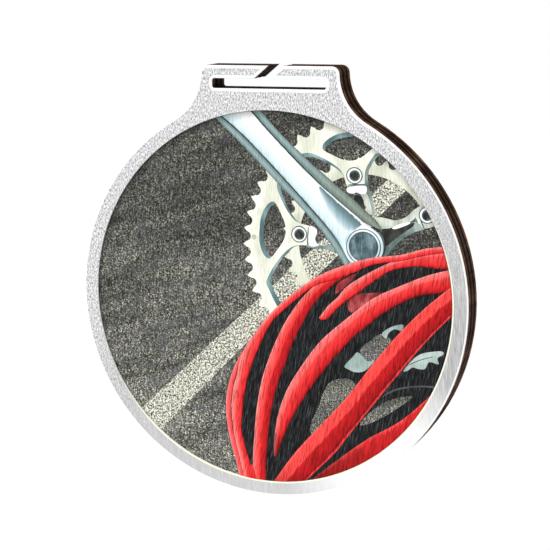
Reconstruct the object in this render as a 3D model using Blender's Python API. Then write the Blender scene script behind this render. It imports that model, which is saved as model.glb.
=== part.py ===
"""Sports finisher medal, laser cut from five-ply board.

The medal is a round disc with a ribbon tab on top. A raised silver border lies on the front
of the board and leaves a round window, and a printed picture disc lies in that window.
The board is built up from its own layers: face veneers, crossbands and core, with a glue
line between each pair. A ribbon slot runs across the tab, and a slanted slit through the
tab's top bar lets a ribbon slide in from above.

Units are metres and +Z is up. The printed front faces -Y. The origin is the middle of the
ribbon slot, half way through the medal's thickness.
"""

import math

import bpy

# Overall outline, seen from the front
OVERALL_HEIGHT = 0.0800
RING_RADIUS = 0.0375
DISC_MIDDLE_X = -0.00028
TAB_HALF_WIDTH = 0.0134
TAB_FILLET_RADIUS = 0.01025
TAB_CORNER_RADIUS = 0.0014

# Ribbon slot and the slit that opens it through the top bar
SLOT_WIDTH = 0.0218
SLOT_HEIGHT = 0.0018
SLOT_CORNER_RADIUS = 0.0004
SLOT_DEPTH_BELOW_TOP = 0.00235
SLIT_WIDTH = 0.0027
SLIT_MIDDLE_AT_TOP = 0.00137
SLIT_LEAN = 0.0028

# Window in the silver border, and the picture that lies in it
WINDOW_RADIUS = 0.0345
PICTURE_RADIUS = 0.0344

# Thickness of each layer
SILVER_THICKNESS = 0.00040
PICTURE_THICKNESS = 0.00015
FACE_VENEER_THICKNESS = 0.00118
CROSSBAND_THICKNESS = 0.00092
CORE_THICKNESS = 0.00118
GLUE_THICKNESS = 0.00006
LAYER_GAP = 0.00002

# Colour, roughness and metallic value of each material
SILVER = ((0.62, 0.63, 0.64), 0.42, 0.85)
PRINT = ((0.20, 0.19, 0.18), 0.50, 0.0)
FACE_BIRCH = ((0.17, 0.11, 0.075), 0.75, 0.0)
CROSS_BIRCH = ((0.035, 0.018, 0.010), 0.85, 0.0)
CORE_BIRCH = ((0.11, 0.072, 0.050), 0.80, 0.0)
BACK_BIRCH = ((0.52, 0.37, 0.22), 0.65, 0.0)
GLUE = ((0.015, 0.008, 0.005), 0.70, 0.0)

ARC_STEP = math.radians(3.0)
SMALL_ARC_STEP = math.radians(15.0)
PICTURE_SEGMENTS = 120

SLOT_TOP = SLOT_HEIGHT / 2
TOP = SLOT_TOP + SLOT_DEPTH_BELOW_TOP
DISC_CENTRE_Z = TOP - OVERALL_HEIGHT + RING_RADIUS


def clear_scene():
    for old in list(bpy.data.objects):
        bpy.data.objects.remove(old, do_unlink=True)


def arc(centre, radius, start, end, step):
    """Points on an arc from the start angle to the end angle, both ends included."""
    count = max(2, math.ceil(abs(end - start) / step))
    points = []
    for i in range(count + 1):
        angle = start + (end - start) * i / count
        points.append((centre[0] + radius * math.cos(angle), centre[1] + radius * math.sin(angle)))
    return points


def one_side(disc_x):
    """Half of the outline, from the end of the top edge round to the disc's lowest point.

    A small corner arc runs into the tab's hollow fillet, and the fillet into the disc. The
    half is drawn to the right of the tab's middle; disc_x is the disc's middle as seen there.
    """
    fillet_x = TAB_HALF_WIDTH + TAB_FILLET_RADIUS
    reach = RING_RADIUS + TAB_FILLET_RADIUS
    fillet_z = DISC_CENTRE_Z + math.sqrt(reach ** 2 - (fillet_x - disc_x) ** 2)
    corner_z = TOP - TAB_CORNER_RADIUS
    between = TAB_FILLET_RADIUS + TAB_CORNER_RADIUS
    corner_x = fillet_x - math.sqrt(between ** 2 - (corner_z - fillet_z) ** 2)

    to_fillet = math.atan2(fillet_z - corner_z, fillet_x - corner_x)
    from_fillet = math.pi + to_fillet
    to_disc = math.atan2(fillet_z - DISC_CENTRE_Z, fillet_x - disc_x)

    corner = arc((corner_x, corner_z), TAB_CORNER_RADIUS, math.pi / 2, to_fillet, SMALL_ARC_STEP)
    fillet = arc((fillet_x, fillet_z), TAB_FILLET_RADIUS, from_fillet, math.pi + to_disc, 2 * ARC_STEP)
    disc_upper = arc((disc_x, DISC_CENTRE_Z), RING_RADIUS, to_disc, 0.0, ARC_STEP)
    disc_lower = arc((disc_x, DISC_CENTRE_Z), RING_RADIUS, 0.0, -math.pi / 2, ARC_STEP)
    return corner + fillet[1:] + disc_upper[1:] + disc_lower[1:]


def slot_left_half():
    """The slot's left end, from its top edge round to its bottom edge."""
    x = -SLOT_WIDTH / 2 + SLOT_CORNER_RADIUS
    z = SLOT_TOP - SLOT_CORNER_RADIUS
    upper = arc((x, z), SLOT_CORNER_RADIUS, math.pi / 2, math.pi, 2 * SMALL_ARC_STEP)
    lower = arc((x, -z), SLOT_CORNER_RADIUS, math.pi, 1.5 * math.pi, 2 * SMALL_ARC_STEP)
    return upper + lower


def mirrored(points):
    """The same points on the other side of the middle, in the opposite order."""
    return [(-x, z) for x, z in reversed(points)]


def board_outline():
    """One closed line round the board: outside, down the slit, round the slot and back up."""
    right = one_side(DISC_MIDDLE_X)
    left = mirrored(one_side(-DISC_MIDDLE_X))[1:]
    slot_left = slot_left_half()
    slot_right = mirrored(slot_left)

    middle_at_slot = SLIT_MIDDLE_AT_TOP - SLIT_LEAN
    half = SLIT_WIDTH / 2
    left_bar_tip = [(SLIT_MIDDLE_AT_TOP - half, TOP), (middle_at_slot - half, SLOT_TOP)]
    right_bar_tip = [(middle_at_slot + half, SLOT_TOP), (SLIT_MIDDLE_AT_TOP + half, TOP)]
    return right + left + left_bar_tip + slot_left + slot_right + right_bar_tip


def material(name, look):
    colour, roughness, metallic = look
    made = bpy.data.materials.new(name)
    made.use_nodes = True
    shader = made.node_tree.nodes["Principled BSDF"]
    shader.inputs["Base Color"].default_value = (*colour, 1.0)
    shader.inputs["Roughness"].default_value = roughness
    shader.inputs["Metallic"].default_value = metallic
    made.diffuse_color = (*colour, 1.0)
    return made


def place(piece, layer_middle, look, collection, parent):
    """Stand a flat piece upright, its thickness along Y, in its place in the stack."""
    piece.location = (piece.location.x, layer_middle, piece.location.z)
    piece.rotation_euler = (math.pi / 2, 0.0, 0.0)
    piece.parent = parent
    piece.data.materials.append(material(piece.name, look))
    for old in list(piece.users_collection):
        old.objects.unlink(piece)
    collection.objects.link(piece)


def flat_plate(name, outlines, thickness):
    """A plate cut from a flat sheet. Any outline after the first is a hole."""
    curve = bpy.data.curves.new(name, "CURVE")
    curve.dimensions = "2D"
    curve.fill_mode = "BOTH"
    curve.extrude = thickness / 2
    for outline in outlines:
        spline = curve.splines.new("POLY")
        spline.points.add(len(outline) - 1)
        for point, (x, z) in zip(spline.points, outline):
            point.co = (x, z, 0.0, 1.0)
        spline.use_cyclic_u = True
    return bpy.data.objects.new(name, curve)


def round_plate(name, radius, thickness):
    bpy.ops.mesh.primitive_cylinder_add(
        vertices=PICTURE_SEGMENTS, radius=radius, depth=thickness, location=(DISC_MIDDLE_X, 0.0, DISC_CENTRE_Z)
    )
    piece = bpy.context.active_object
    piece.name = name
    piece.data.name = name
    piece.data.shade_smooth()
    piece.data.set_sharp_from_angle(angle=math.radians(30.0))
    return piece


def board_layers():
    """Name, thickness and look of each layer of the board, front to back."""
    return [
        ("front_face_veneer", FACE_VENEER_THICKNESS, FACE_BIRCH),
        ("front_outer_glue_line", GLUE_THICKNESS, GLUE),
        ("front_crossband_veneer", CROSSBAND_THICKNESS, CROSS_BIRCH),
        ("front_inner_glue_line", GLUE_THICKNESS, GLUE),
        ("core_veneer", CORE_THICKNESS, CORE_BIRCH),
        ("back_inner_glue_line", GLUE_THICKNESS, GLUE),
        ("back_crossband_veneer", CROSSBAND_THICKNESS, CROSS_BIRCH),
        ("back_outer_glue_line", GLUE_THICKNESS, GLUE),
        ("back_face_veneer", FACE_VENEER_THICKNESS, BACK_BIRCH),
    ]


def build():
    clear_scene()
    collection = bpy.data.collections.new("sports_finisher_medal")
    bpy.context.scene.collection.children.link(collection)
    medal = bpy.data.objects.new("medal_origin", None)
    collection.objects.link(medal)

    layers = board_layers()
    board_thickness = sum(LAYER_GAP + thickness for _, thickness, _ in layers)
    front = -(SILVER_THICKNESS + board_thickness) / 2
    outline = board_outline()
    window = arc((DISC_MIDDLE_X, DISC_CENTRE_Z), WINDOW_RADIUS, 0.0, 2 * math.pi, ARC_STEP)[:-1]

    silver = flat_plate("silver_border", [outline, window], SILVER_THICKNESS)
    place(silver, front + SILVER_THICKNESS / 2, SILVER, collection, medal)

    board_front = front + SILVER_THICKNESS
    picture = round_plate("picture_disc", PICTURE_RADIUS, PICTURE_THICKNESS)
    place(picture, board_front - PICTURE_THICKNESS / 2, PRINT, collection, medal)

    depth = board_front
    for name, thickness, look in layers:
        depth += LAYER_GAP
        veneer = flat_plate(name, [outline], thickness)
        place(veneer, depth + thickness / 2, look, collection, medal)
        depth += thickness


build()
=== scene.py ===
"""Looks of the laser-cut finisher medal: the charred plywood board, the brushed silver border
with its white bevels, and the printed cycling picture, inlaid shape by shape in low relief.

Lengths of the picture's shapes are in millimetres from the middle of the picture, x to the
right and z up. Everything else is in metres, in the frame's own place.
"""

import math

import bmesh
import bpy
from mathutils import Matrix, Vector


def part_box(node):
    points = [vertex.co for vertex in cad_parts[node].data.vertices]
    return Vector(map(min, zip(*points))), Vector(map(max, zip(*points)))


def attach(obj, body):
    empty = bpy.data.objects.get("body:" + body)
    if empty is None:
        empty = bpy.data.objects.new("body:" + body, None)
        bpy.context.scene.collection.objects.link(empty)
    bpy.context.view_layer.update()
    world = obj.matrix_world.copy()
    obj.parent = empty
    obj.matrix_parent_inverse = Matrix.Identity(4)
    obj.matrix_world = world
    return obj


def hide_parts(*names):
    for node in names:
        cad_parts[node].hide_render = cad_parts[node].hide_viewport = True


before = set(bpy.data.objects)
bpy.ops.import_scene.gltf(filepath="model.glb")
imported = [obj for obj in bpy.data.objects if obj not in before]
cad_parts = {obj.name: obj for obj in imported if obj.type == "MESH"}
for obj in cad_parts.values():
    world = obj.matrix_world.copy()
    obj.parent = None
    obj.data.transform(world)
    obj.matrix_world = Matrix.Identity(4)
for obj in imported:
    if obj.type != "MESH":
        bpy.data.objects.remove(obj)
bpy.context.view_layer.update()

MM = 0.001

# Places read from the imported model
BORDER_LOW, BORDER_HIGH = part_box("silver_border")
BOARD_LOW, BOARD_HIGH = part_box("front_face_veneer")
PICTURE_LOW, PICTURE_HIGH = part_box("picture_disc")
DISC_RADIUS = (BORDER_HIGH.x - BORDER_LOW.x) / 2
CENTRE_X = (BORDER_HIGH.x + BORDER_LOW.x) / 2
CENTRE_Z = BORDER_LOW.z + DISC_RADIUS
FRONT = BORDER_LOW.y
PICTURE_FRONT = PICTURE_LOW.y
PICTURE_RADIUS = (PICTURE_HIGH.x - PICTURE_LOW.x) / 2

# Border
OUTER_BEVEL_WIDTH = 0.55 * MM
OUTER_BEVEL_NARROW = 0.30 * MM
OUTER_BEVEL_HEIGHT = 0.13 * MM
INNER_BEVEL_WIDTH = 0.32 * MM
INNER_BEVEL_NARROW = 0.04 * MM
BEVEL_STEPS = 5
CIRCLE_SEGMENTS = 180

# Picture relief: each level stands one step higher than the one below it
RELIEF_STEP = 0.009 * MM
RELIEF_ROOT = 0.02 * MM
CURVE_STEPS = 8
BLOB_STEPS = 4
LONG_ROWS = 90
PLATE_SHARP_ANGLE = 20.0
STRIP_SHARP_ANGLE = 30.0

# The gaps between the window's edge and the sheet and the ink, and the tool that cuts the ink
SHEET_GAP = 0.005 * MM
INK_GAP = 0.03 * MM
CUTTER_NAME = "window_cutter"
CUTTER_MARGIN = 1.0 * MM

# Levels of the picture's relief, counted up from the asphalt sheet
ROAD_LEVEL = 1
SMALL_RING_LEVEL, RING_EDGE_LEVEL, BIG_RING_LEVEL = 2, 3, 4
ARM_LEVEL, ARM_FACE_LEVEL, ARM_SHADE_LEVEL, ARM_GLINT_LEVEL = 5, 6, 7, 8
BOLT_WASHER_LEVEL, BOLT_HEAD_LEVEL, BOLT_SOCKET_LEVEL = 9, 10, 11
CRANK_SIDE_LEVEL, CRANK_BODY_LEVEL, BOSS_LEVEL, GROOVE_LEVEL = 12, 13, 14, 15
SOCKET_RING_LEVEL, SOCKET_LEVEL, NOTCH_LEVEL = 16, 17, 18
HELMET_INSIDE_LEVEL, SEEN_LOW_LEVEL, SEEN_HIGH_LEVEL = 19, 20, 21
LOW_RIB_LEVEL, MIDDLE_RIB_LEVEL, DEEP_RIB_LEVEL, FIRST_RIB_LEVEL, FORK_LEVEL = 23, 24, 25, 26, 27

# Light
WORLD_STRENGTH = 0.66
SUN_STRENGTH = 1.7
SUN_WIDTH = math.radians(12.0)
KEY_DIRECTION = (-0.45, -0.65, 0.85)
FILL_POWER = 0.5
FILL_PLACE = (-0.12, -0.9, -0.3)
FILL_SIZE = 0.3

# Floor
FLOOR_DROP = 0.25
FLOOR_SIZE = 40.0

# Camera
CAMERA_AZIMUTH = math.radians(20.17)
CAMERA_ELEVATION = math.radians(9.81)
CAMERA_ROLL = math.radians(-0.51)
CAMERA_DISTANCE = 334.8 * MM
CAMERA_LENS = 120.1
CAMERA_AIM = Vector((CENTRE_X + 1.24 * MM, FRONT, CENTRE_Z + 4.5 * MM))


# -------- outlines and meshes

def front_loops(node):
    """Each edge line of a CAD node's front face, as (x, z) points, the longest line first."""
    mesh = bmesh.new()
    mesh.from_mesh(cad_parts[node].data)
    bmesh.ops.remove_doubles(mesh, verts=mesh.verts, dist=1e-7)
    mesh.normal_update()
    front = {face for face in mesh.faces if face.normal.y < -0.9}
    rim = [edge for edge in mesh.edges if sum(face in front for face in edge.link_faces) == 1]
    beside = {}
    for edge in rim:
        a, b = edge.verts
        beside.setdefault(a, []).append(b)
        beside.setdefault(b, []).append(a)
    loops = []
    while beside:
        start = min(beside, key=lambda vert: vert.index)
        loop = [start]
        ahead = beside.pop(start)[0]
        while ahead in beside:
            near = beside.pop(ahead)
            loop.append(ahead)
            ahead = near[0] if near[0] in beside or near[0] is start and near[1] is loop[-2] else near[1]
        loops.append([Vector((vert.co.x, vert.co.z)) for vert in loop])
    mesh.free()
    return sorted((anticlockwise(loop) for loop in loops), key=len, reverse=True)


def anticlockwise(loop):
    area = sum(a.x * b.y - b.x * a.y for a, b in zip(loop, loop[1:] + loop[:1]))
    return loop if area > 0 else loop[::-1]


def inset(loop, distance):
    """The loop moved inwards, its corners mitred. The distance may be a function of the point."""
    depth_at = distance if callable(distance) else lambda point: distance
    moved = []
    for i, point in enumerate(loop):
        before = (point - loop[i - 1]).normalized()
        after = (loop[(i + 1) % len(loop)] - point).normalized()
        normal_before = Vector((-before.y, before.x))
        normal_after = Vector((-after.y, after.x))
        spread = 1.0 + normal_before.dot(normal_after)
        moved.append(point + (normal_before + normal_after) * (depth_at(point) / spread))
    return moved


def round_loop(centre, radius, steps):
    turns = [2 * math.pi * i / steps for i in range(steps)]
    return [(centre[0] + radius * math.cos(turn), centre[1] + radius * math.sin(turn)) for turn in turns]


def circle(radius):
    centre = (CENTRE_X, CENTRE_Z)
    return [Vector(point) for point in round_loop(centre, radius, CIRCLE_SEGMENTS)]


def ring_of(mesh, loop, y):
    return [mesh.verts.new((point.x, y, point.y)) for point in loop]


def wall_between(mesh, ring, following, material=0):
    for i in range(len(ring)):
        face = mesh.faces.new((ring[i - 1], ring[i], following[i], following[i - 1]))
        face.material_index = material


def cap(mesh, rings, material=0):
    """A flat face that fills the first ring, with any other ring as a hole."""
    edges = []
    for ring in rings:
        for i in range(len(ring)):
            known = mesh.edges.get((ring[i - 1], ring[i]))
            edges.append(known or mesh.edges.new((ring[i - 1], ring[i])))
    filled = bmesh.ops.triangle_fill(mesh, use_beauty=True, use_dissolve=False, edges=edges)
    for item in filled["geom"]:
        if isinstance(item, bmesh.types.BMFace):
            item.material_index = material


def linked(name, data):
    """A new object in the scene."""
    made = bpy.data.objects.new(name, data)
    bpy.context.scene.collection.objects.link(made)
    return made


def mesh_object(name, mesh):
    data = bpy.data.meshes.new(name)
    mesh.to_mesh(data)
    mesh.free()
    return linked(name, data)


def piece_from(mesh, name, materials, smooth_angle=40.0):
    """Turn a bmesh into a finished piece that rides on the medal's one body."""
    bmesh.ops.recalc_face_normals(mesh, faces=mesh.faces)
    piece = mesh_object(name, mesh)
    piece.data.shade_smooth()
    piece.data.set_sharp_from_angle(angle=math.radians(smooth_angle))
    for material in materials:
        piece.data.materials.append(material)
    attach(piece, "root")
    return piece


# -------- materials

# The helmet's grain lines lean to the right at the top, and are cut deeper than the others.
# The asphalt's bands rise to the right.
GRAIN_FINENESS = 4600.0
GRAIN_LEAN = math.radians(-9.0)
GRAIN_DEEP = 0.52
BAND_LEAN = math.radians(18.0)

# Painted shadow: a soft dark rim that stands for the shadow the border casts on the picture
PAINTED_RIM_SHADOW_RIGHT = 0.35 * MM
PAINTED_RIM_SHADOW_UP = -0.80 * MM
PAINTED_RIM_SHADOW_REACH = 0.8 * MM
PAINTED_RIM_SHADOW = 0.42

# Painted highlight: the pale patch on the border's lower right, where the light's reflection falls
PAINTED_HIGHLIGHT_RIGHT = 22 * MM
PAINTED_HIGHLIGHT_UP = -29 * MM
PAINTED_HIGHLIGHT_CORE = 5 * MM
PAINTED_HIGHLIGHT_REACH = 20 * MM


def srgb(red, green, blue):
    """A screen colour, 0 to 255, as the linear colour that shaders take."""
    def linear(value):
        value = value / 255.0
        return value / 12.92 if value <= 0.04045 else ((value + 0.055) / 1.055) ** 2.4
    return (linear(red), linear(green), linear(blue), 1.0)


class Look:
    """A material's node tree, with short ways to add the nodes that these looks share."""

    def __init__(self, name):
        self.material = bpy.data.materials.new(name)
        self.material.use_nodes = True
        self.tree = self.material.node_tree
        self.shader = self.tree.nodes["Principled BSDF"]
        self.place = self.add("TexCoord").outputs["Object"]

    def add(self, kind, inputs=None, **settings):
        node = self.tree.nodes.new("ShaderNode" + kind)
        for key, value in settings.items():
            setattr(node, key, value)
        for key, value in (inputs or {}).items():
            self.feed(node.inputs[key], value)
        return node

    def feed(self, socket, value):
        if isinstance(value, bpy.types.NodeSocket):
            self.tree.links.new(value, socket)
        else:
            socket.default_value = value

    def set(self, **inputs):
        """Set the shader's own sockets; a name's underscores stand for spaces."""
        for key, value in inputs.items():
            self.feed(self.shader.inputs[key.replace("_", " ")], value)

    def scaled(self, x, y, z, turn=0.0):
        """The place on the object, stretched, and turned about the thickness first."""
        turned = self.add("Mapping", {0: self.place, "Rotation": (0.0, turn, 0.0)})
        return self.add("Mapping", {0: turned.outputs[0], "Scale": (x, y, z)}).outputs[0]

    def coordinate(self, axis):
        """One coordinate of the place on the object: 0 is to the right, 2 is up."""
        return self.add("SeparateXYZ", {0: self.place}).outputs[axis]

    def noise(self, vector, scale=1.0, detail=2.0, roughness=0.5, distortion=0.0):
        node = self.add(
            "TexNoise",
            {"Vector": vector, "Scale": scale, "Detail": detail, "Roughness": roughness,
             "Distortion": distortion},
        )
        return node.outputs[0]

    def ramp(self, factor, stops):
        """Screen colours along a factor, each at its own position."""
        node = self.add("ValToRGB", {0: factor})
        elements = node.color_ramp.elements
        while len(elements) < len(stops):
            elements.new(0.5)
        for element, (position, colour) in zip(elements, stops):
            element.position = position
            element.color = srgb(*colour)
        return node.outputs[0]

    def spread(self, value, low, high, to_low=0.0, to_high=1.0):
        node = self.add("MapRange", {0: value, 1: low, 2: high, 3: to_low, 4: to_high})
        return node.outputs[0]

    def maths(self, operation, a, b=0.0):
        return self.add("Math", {0: a, 1: b}, operation=operation).outputs[0]

    def mix(self, factor, a, b, blend="MIX"):
        node = self.add("Mix", data_type="RGBA", blend_type=blend)
        self.feed(node.inputs[0], factor)
        self.feed(node.inputs[6], a)
        self.feed(node.inputs[7], b)
        return node.outputs[2]

    def bump(self, height, distance, strength=1.0, under=None):
        node = self.add("Bump", {"Height": height, "Distance": distance, "Strength": strength})
        if under is not None:
            self.feed(node.inputs["Normal"], under)
        return node.outputs[0]


def grain_streaks(look, turn=0.0, waviness=0.0):
    """Wood grain that runs up the medal: 0 in a dark streak, 1 between streaks."""
    along = look.scaled(GRAIN_FINENESS, 0.0, GRAIN_FINENESS * 0.08, turn)
    return look.noise(along, 1.0, 2.0, 0.6, waviness)


def from_centre(look, right=0.0, up=0.0):
    """The distance of a place from the disc's middle, or from a point moved right and up of it."""
    middle = (CENTRE_X + right, 0.0, CENTRE_Z + up)
    offset = look.add("VectorMath", {0: look.place, 1: middle}, operation="SUBTRACT")
    in_plane = {0: offset.outputs[0], 1: (1.0, 0.0, 1.0)}
    flat = look.add("VectorMath", in_plane, operation="MULTIPLY")
    return look.add("VectorMath", {0: flat.outputs[0]}, operation="LENGTH").outputs["Value"]


def tinted(look, colour, shade):
    """A colour made lighter or darker by a value around 1."""
    equal = look.add("CombineColor", {0: shade, 1: shade, 2: shade}).outputs[0]
    return look.mix(1.0, colour, equal, "MULTIPLY")


def finish_print(look, colour, darkening=0.22, turn=0.0, waviness=0.3):
    """Ink over grained wood: dark streaks, fine ridges, and a painted shadow, a soft dark rim under the
    border.
    """
    streak = grain_streaks(look, turn, waviness)
    grain = look.spread(streak, 0.37, 0.58, 1.0 - darkening, 1.0 + darkening * 0.3)
    # Painted shadow: darker towards the window's edge, most at the upper left, as if cast by the raised
    # border
    reach = from_centre(look, PAINTED_RIM_SHADOW_RIGHT, PAINTED_RIM_SHADOW_UP)
    shade_start = PICTURE_RADIUS - PAINTED_RIM_SHADOW_REACH
    rim = look.spread(reach, shade_start, PICTURE_RADIUS + PAINTED_RIM_SHADOW_REACH, 1.0, PAINTED_RIM_SHADOW)
    look.set(
        Base_Color=tinted(look, colour, look.maths("MULTIPLY", grain, rim)),
        Roughness=look.spread(streak, 0.3, 0.7, 0.62, 0.44),
        Normal=look.bump(streak, 0.02 * MM, 0.6),
        Specular_IOR_Level=0.1,
    )
    return look.material


def asphalt_colour(look):
    """Fine stones, lighter towards the bottom, with smooth bluish bands that rise to the right."""
    speckle = look.noise(look.scaled(1, 1, 1), 4000.0, 2.0, 0.75)
    stones = look.ramp(speckle, [
        (0.33, (18, 18, 16)), (0.42, (50, 50, 45)), (0.51, (86, 86, 79)),
        (0.59, (126, 126, 116)), (0.68, (196, 196, 184)),
    ])
    cool = look.noise(look.scaled(130, 1, 420, BAND_LEAN), 1.0, 3.0, 0.6)
    smooth = look.mix(look.spread(cool, 0.44, 0.66, 0.0, 0.5), stones, srgb(86, 85, 90))
    bands = look.noise(look.scaled(30, 1, 300, BAND_LEAN), 1.0, 2.0, 0.55)
    banded = look.spread(bands, 0.36, 0.60, 0.66, 1.2)
    rise = look.spread(look.coordinate(2), CENTRE_Z - 26 * MM, CENTRE_Z + 20 * MM, 1.68, 0.84)
    return tinted(look, smooth, look.maths("MULTIPLY", banded, rise))


def asphalt_look(name):
    look = Look(name)
    return finish_print(look, asphalt_colour(look), 0.48)


def road_paint_look():
    look = Look("print_road_paint")
    speckle = look.noise(look.scaled(1, 1, 1), 3100.0, 3.0, 0.8)
    paint = look.ramp(speckle, [
        (0.36, (22, 22, 19)), (0.45, (100, 100, 90)), (0.52, (204, 204, 186)),
        (0.57, (254, 254, 240)),
    ])
    return finish_print(look, paint, 0.16)


def even_stops(shades):
    """Shades spread evenly over the middle part of a noise's values."""
    return [(0.36 + 0.28 * i / (len(shades) - 1), shade) for i, shade in enumerate(shades)]


def ink(name, shades, scale, darkening=0.12, turn=0.0):
    """One printed colour that wanders between a few shades."""
    look = Look("print_" + name)
    wander = look.noise(look.scaled(1, 1, 0.6, turn), scale, 2.0, 0.5)
    return finish_print(look, look.ramp(wander, even_stops(shades)), darkening, turn)


def across_look(
    name, stops, darkening=0.12, waviness=0.3, wander=0.05, turn=0.0, dark_start=0.0, end_tint=None,
):
    """A colour that changes across a strip, from its first edge (0) to its second (1).

    With dark_start, the strip begins dark and has its full colour from that share of its length.
    With end_tint, the strip takes on that tint along the second half of its length.
    """
    look = Look("print_" + name)
    uv = look.add("UVMap", uv_map="strip").outputs[0]
    parts = look.add("SeparateXYZ", {0: uv})
    uneven = look.noise(look.scaled(1500, 1, 210, turn), 1.0, 3.0, 0.6)
    shift = look.spread(uneven, 0.3, 0.7, -wander, wander)
    across = look.maths("ADD", parts.outputs[1], shift)
    colour = look.ramp(across, stops)
    if dark_start:
        colour = tinted(look, colour, look.spread(parts.outputs[0], 0.0, dark_start, 0.25, 1.0))
    if end_tint:
        share = look.spread(parts.outputs[0], 0.35, 0.85)
        colour = look.mix(share, colour, srgb(*end_tint), "MULTIPLY")
    return finish_print(look, colour, darkening, turn, waviness)


def silver_look():
    """Silver on grained wood: salt-and-pepper dashes above, finely brushed below, and paler below and at the
    lower right, a painted highlight.
    """
    look = Look("brushed_silver")
    dashes = look.noise(look.scaled(4600, 1, 1900), 1.0, 3.0, 0.8)
    streaks = look.noise(look.scaled(4200, 1, 300, math.radians(4)), 1.0, 3.0, 0.65)
    height = look.coordinate(2)
    lower_right = look.maths("SUBTRACT", look.maths("MULTIPLY", look.coordinate(0), 0.55), height)
    brushed = look.spread(lower_right, 22 * MM, 62 * MM)
    speckled = look.ramp(dashes, [
        (0.36, (112, 112, 114)), (0.46, (186, 186, 188)), (0.53, (226, 226, 227)),
        (0.62, (254, 254, 254)),
    ])
    fine = look.ramp(streaks, [
        (0.34, (156, 156, 158)), (0.46, (174, 174, 175)), (0.58, (192, 192, 193)),
        (0.68, (210, 210, 211)),
    ])
    # Painted highlight: a pale patch at the lower right and a lighter lower part, where the light's
    # reflection falls
    pale = look.spread(from_centre(look, PAINTED_HIGHLIGHT_RIGHT, PAINTED_HIGHLIGHT_UP), PAINTED_HIGHLIGHT_CORE, PAINTED_HIGHLIGHT_REACH, 1.0, 0.0)
    lower = look.spread(height, CENTRE_Z - 18 * MM, CENTRE_Z - 36 * MM, 0.0, 0.6)
    lightened = look.mix(lower, look.mix(brushed, speckled, fine), srgb(212, 212, 212))
    colour = look.mix(pale, lightened, srgb(252, 252, 252))
    look.set(
        Base_Color=colour,
        Roughness=look.spread(streaks, 0.3, 0.7, 0.55, 0.38),
        Normal=look.bump(streaks, 0.008 * MM, 0.5, look.bump(dashes, 0.006 * MM, 0.4)),
        Metallic=0.3,
        Specular_IOR_Level=0.2,
    )
    return look.material


def bevel_look(name, shade, painted_upper_shade=None):
    """A bevel in one pale shade that paints its highlight, or, towards the medal's top, in a second shade
    that paints its shade.
    """
    look = Look(name)
    uneven = look.noise(look.scaled(1500, 1, 500), 1.0, 2.0, 0.5)
    near_shade = tuple(max(0, channel - 10) for channel in shade)
    colour = look.ramp(uneven, [(0.35, near_shade), (0.65, shade)])
    # Painted shade: towards the upper left the bevel turns to the second shade, darker where it faces away
    # from the light
    if painted_upper_shade:
        slant = look.maths("SUBTRACT", look.coordinate(2), look.maths("MULTIPLY", look.coordinate(0), 0.5))
        share = look.spread(slant, CENTRE_Z - 4 * MM, CENTRE_Z + 16 * MM)
        colour = look.mix(share, colour, srgb(*painted_upper_shade))
    look.set(
        Base_Color=colour,
        Roughness=look.spread(uneven, 0.3, 0.7, 0.45, 0.35),
        Normal=look.bump(uneven, 0.004 * MM, 0.4),
        Specular_IOR_Level=0.2,
    )
    return look.material


def scorched_look(name, shades, stripe_depth=0.03):
    """A laser-cut ply edge: the beam's fine lines run through the thickness, and the char varies."""
    look = Look(name)
    lines = look.noise(look.scaled(5200, 0, 5200), 1.0, 2.0, 0.6)
    char = look.noise(look.scaled(330, 40, 330), 1.0, 3.0, 0.6)
    fibres = look.noise(look.scaled(400, 9000, 400), 1.0, 2.0, 0.6)
    fine = look.maths("ADD", look.maths("MULTIPLY", lines, 0.22), look.maths("MULTIPLY", fibres, 0.18))
    blend = look.maths("ADD", look.maths("MULTIPLY", char, 0.6), fine)
    under = look.bump(lines, stripe_depth * MM, 0.6)
    look.set(
        Base_Color=look.ramp(blend, even_stops(shades)),
        Roughness=look.spread(char, 0.3, 0.7, 0.85, 0.6),
        Normal=look.bump(fibres, 0.01 * MM, 0.4, under),
        Specular_IOR_Level=0.03,
    )
    return look.material


def birch_look():
    """The bare back: pale birch with fine upright grain, darker pores and a smoky edge."""
    look = Look("birch_back")
    broad = look.noise(look.scaled(230, 1, 22), 1.0, 3.0, 0.55, 0.8)
    fine = look.noise(look.scaled(3200, 1, 150), 1.0, 3.0, 0.6)
    pores = look.noise(look.scaled(5200, 1, 420), 1.0, 2.0, 0.7)
    base = look.ramp(broad, [
        (0.34, (196, 160, 116)), (0.48, (214, 180, 136)), (0.64, (226, 196, 154)),
    ])
    lined = look.mix(look.spread(fine, 0.42, 0.62, 0.35, 0.0), base, srgb(168, 128, 84))
    pored = look.mix(look.spread(pores, 0.62, 0.72, 0.0, 0.55), lined, srgb(128, 90, 56))
    edge = look.maths("ADD", from_centre(look), look.spread(broad, 0.3, 0.7, -0.4 * MM, 0.4 * MM))
    below_tab = look.spread(look.coordinate(2), CENTRE_Z + 26 * MM, CENTRE_Z + 34 * MM, 0.45, 0.0)
    smoke = look.maths("MULTIPLY", look.spread(edge, DISC_RADIUS - 1.6 * MM, DISC_RADIUS), below_tab)
    look.set(
        Base_Color=look.mix(smoke, pored, srgb(122, 82, 50)),
        Roughness=look.spread(fine, 0.3, 0.7, 0.62, 0.5),
        Normal=look.bump(fine, 0.015 * MM, 0.5),
        Specular_IOR_Level=0.3,
    )
    return look.material


# -------- board

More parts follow.
